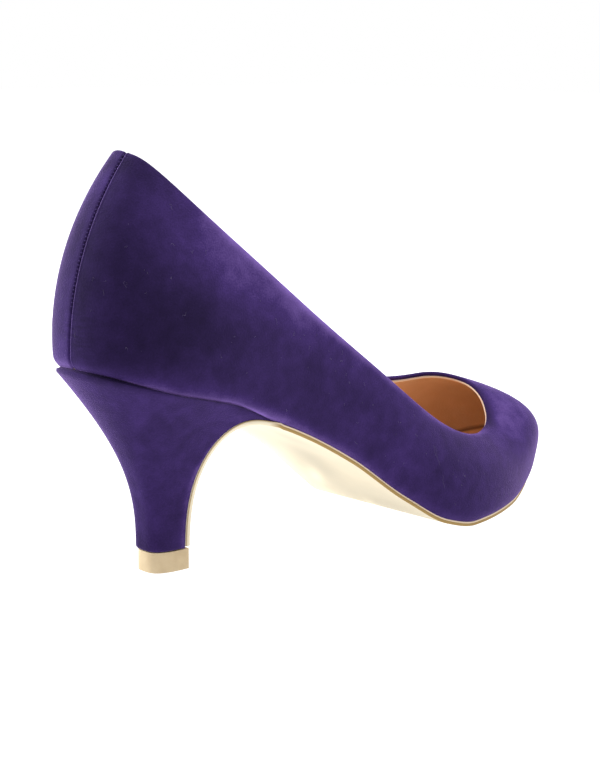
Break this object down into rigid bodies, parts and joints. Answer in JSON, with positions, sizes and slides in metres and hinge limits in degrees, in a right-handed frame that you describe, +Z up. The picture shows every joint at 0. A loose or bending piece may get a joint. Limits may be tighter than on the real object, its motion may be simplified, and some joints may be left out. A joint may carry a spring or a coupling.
{
  "type": "pump shoe",
  "caption": "Women's court pump in purple suede with a low open throat, a curved suede-covered heel and a thin cream sole; worn on the foot, it stands empty on its heel and forepart.",
  "frame": {"origin": "on the floor, below the middle of the shoe's length and width", "axes": "+X towards the toe, +Y towards the inner side of the foot, +Z up"},
  "size_m": [0.2198, 0.0742, 0.1299],
  "materials": {
    "suede": "purple suede with a soft cloudy nap",
    "lining": "smooth tan lining leather",
    "sole": "smooth cream sole leather",
    "lift": "matt beige rubber"
  },
  "bodies": {
    "root": {"upper": "suede", "heel": "suede", "insole": "lining", "outsole": "sole", "top_lift": "lift"}
  },
  "joints": []
}
